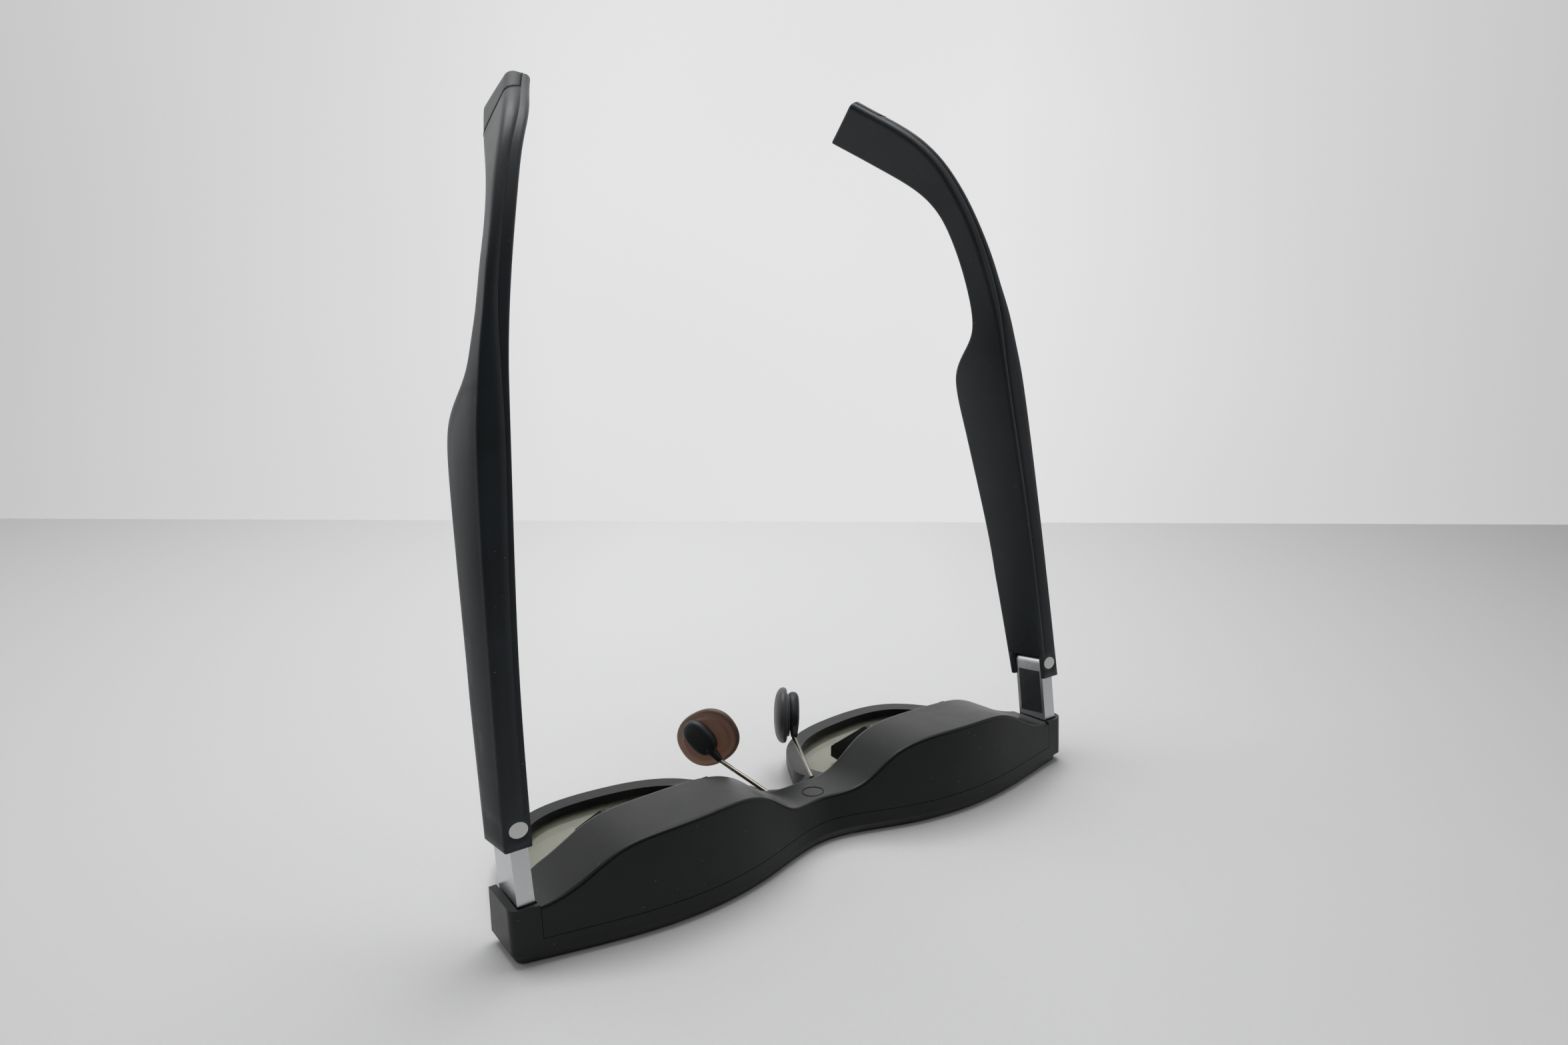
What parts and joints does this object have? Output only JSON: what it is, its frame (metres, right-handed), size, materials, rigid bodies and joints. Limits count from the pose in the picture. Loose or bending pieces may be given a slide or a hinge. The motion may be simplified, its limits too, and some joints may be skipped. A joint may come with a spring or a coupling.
{
  "type": "smart glasses",
  "caption": "Display glasses with a tinted visor, an optics hump over each eye, rocking nose pads, and temples that tilt and fold.",
  "frame": {"origin": "on the flat front face of the visor, at the middle of the bridge", "axes": "+X to the wearer's left, +Y down the face, +Z from the front towards the ears"},
  "size_m": [0.146, 0.0654, 0.1596],
  "materials": {
    "frame_plastic": "satin",
    "visor_tint": "polished",
    "housing_plastic": "satin",
    "sensor_window": "polished",
    "circuit_board": "satin",
    "screw_steel": "satin",
    "barrel_black": "matte",
    "display_glass": "polished",
    "lens_glass": "polished",
    "splitter_glass": "polished",
    "combiner_glass": "polished",
    "holder_black": "matte",
    "wire_metal": "satin",
    "pin_steel": "satin",
    "mount_black": "satin",
    "arm_metal": "satin",
    "cover_black": "satin",
    "cap_metal": "satin",
    "temple_plastic": "satin",
    "inner_plastic": "matte",
    "tip_plastic": "satin",
    "speaker_metal": "matte",
    "grille_metal": "matte",
    "pad_brown": "satin",
    "pad_grey": "satin",
    "usb_steel": "satin",
    "flex_film": "satin",
    "control_plastic": "satin"
  },
  "bodies": {
    "front": {"front_frame": "frame_plastic", "front_visor": "visor_tint", "rear_housing": "housing_plastic", "bridge_sensor_window": "sensor_window", "main_board": "circuit_board", "housing_screws": "screw_steel", "left_display_barrel": "barrel_black", "right_display_barrel": "barrel_black", "left_display_panel": "display_glass", "right_display_panel": "display_glass", "left_field_lens": "lens_glass", "right_field_lens": "lens_glass", "left_beam_splitter": "splitter_glass", "right_beam_splitter": "splitter_glass", "left_combiner": "combiner_glass", "right_combiner": "combiner_glass", "left_optics_holder": "holder_black", "right_optics_holder": "holder_black", "left_nose_wire": "wire_metal", "right_nose_wire": "wire_metal", "left_tilt_pin": "pin_steel", "right_tilt_pin": "pin_steel"},
    "right_arm": {"right_hinge_arm": "arm_metal", "right_arm_cover": "cover_black"},
    "right_temple": {"right_hinge_pin": "cap_metal", "right_temple_outer_shell": "temple_plastic", "right_temple_inner_shell": "inner_plastic", "right_tip_cap": "tip_plastic", "right_speaker": "speaker_metal", "right_speaker_grille": "grille_metal", "right_temple_board": "circuit_board"},
    "right_pad": {"right_pad_mount": "mount_black", "right_nose_pad": "pad_brown"},
    "left_arm": {"left_hinge_arm": "arm_metal", "left_arm_cover": "cover_black"},
    "left_temple": {"left_hinge_pin": "cap_metal", "left_temple_outer_shell": "temple_plastic", "left_temple_inner_shell": "inner_plastic", "left_tip_cap": "tip_plastic", "left_speaker": "speaker_metal", "left_speaker_grille": "grille_metal", "left_temple_board": "circuit_board", "usb_c_socket": "usb_steel", "power_flex": "flex_film"},
    "left_pad": {"left_pad_mount": "mount_black", "left_nose_pad": "pad_grey"},
    "button": {"mode_button": "control_plastic"},
    "rocker": {"brightness_rocker": "control_plastic"}
  },
  "joints": [
    {"name": "right_temple_tilt", "type": "hinge", "parent": "front", "child": "right_arm", "pos_m": [-0.0696, -0.002, 0.0076], "axis": [1, 0, 0], "range_deg": [-4, 4]},
    {"name": "left_temple_tilt", "type": "hinge", "parent": "front", "child": "left_arm", "pos_m": [0.0696, -0.002, 0.0076], "axis": [1, 0, 0], "range_deg": [-4, 4]},
    {"name": "right_temple_fold", "type": "hinge", "parent": "right_arm", "child": "right_temple", "pos_m": [-0.0696, -0.00157, 0.02511], "axis": [0, 0.9848, -0.1736], "range_deg": [0, 79]},
    {"name": "left_temple_fold", "type": "hinge", "parent": "left_arm", "child": "left_temple", "pos_m": [0.0696, -0.00157, 0.02511], "axis": [0, 0.9848, -0.1736], "range_deg": [-79, 0]},
    {"name": "right_pad_rock", "type": "hinge", "parent": "front", "child": "right_pad", "pos_m": [-0.01308, 0.02479, 0.0156], "axis": [-0.42, 0.6066, 0.675], "range_deg": [-8, 8]},
    {"name": "left_pad_rock", "type": "hinge", "parent": "front", "child": "left_pad", "pos_m": [0.01308, 0.02479, 0.0156], "axis": [0.42, 0.6066, 0.675], "range_deg": [-8, 8]},
    {"name": "mode_button_press", "type": "slide", "parent": "right_temple", "child": "button", "axis": [0, -0.9848, 0.1736], "range_m": [0, 0.0005], "stiffness_N_per_m": 800, "springref_m": -0.0003},
    {"name": "brightness_rocker_tip", "type": "hinge", "parent": "right_temple", "child": "rocker", "pos_m": [-0.0689, 0.01093, 0.04982], "axis": [1, 0, 0], "range_deg": [-3, 3], "stiffness_Nm_per_rad": 0.02}
  ]
}
